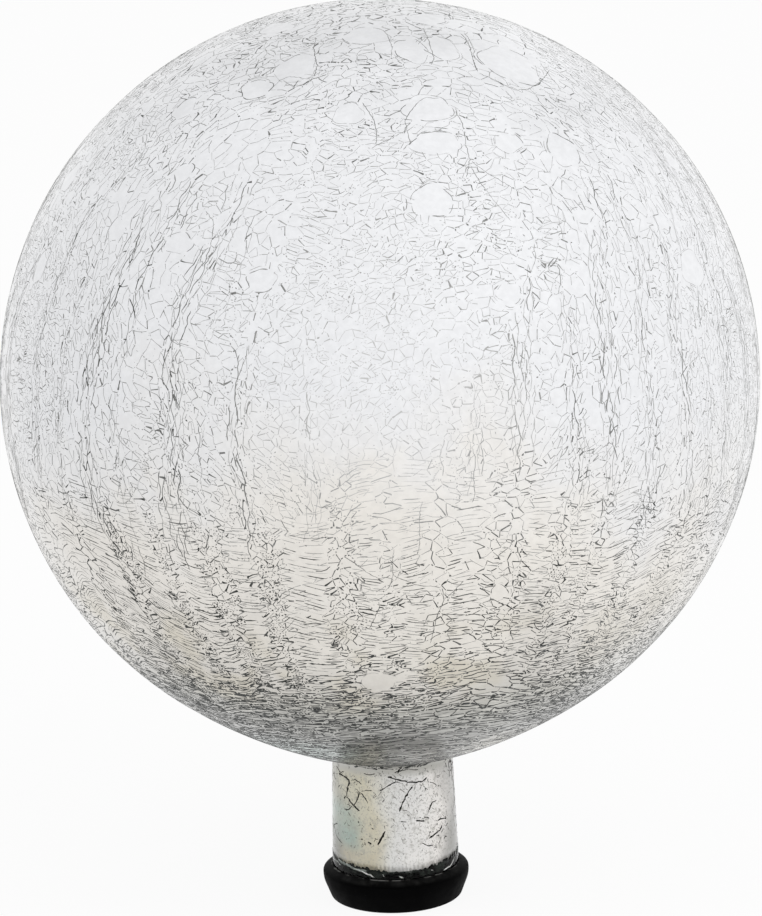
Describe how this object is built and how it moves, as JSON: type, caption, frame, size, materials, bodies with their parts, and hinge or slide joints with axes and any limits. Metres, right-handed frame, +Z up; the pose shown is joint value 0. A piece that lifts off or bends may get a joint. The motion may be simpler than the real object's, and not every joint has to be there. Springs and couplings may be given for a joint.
{
  "type": "garden gazing ball",
  "caption": "Hollow ball of silvered crackle glass on a short flared neck, closed by a flat-based black rubber cap that pulls off.",
  "frame": {"origin": "middle of the rubber cap's flat underside", "axes": "+Z up the neck and through the ball's pole, which is the axis that every piece is turned about"},
  "size_m": [0.254, 0.254, 0.308],
  "materials": {
    "crackle_glass": "clear crackled glass, smooth outside",
    "silver_film": "bright silver film",
    "black_rubber": "matt moulded rubber"
  },
  "bodies": {
    "globe": {"glass_globe": "crackle_glass", "silver_lining": "silver_film"},
    "cap": {"rubber_cap": "black_rubber"}
  },
  "joints": [
    {"name": "cap_pull", "type": "slide", "parent": "globe", "child": "cap", "axis": [0, 0, -1], "range_m": [0, 0.03]}
  ]
}
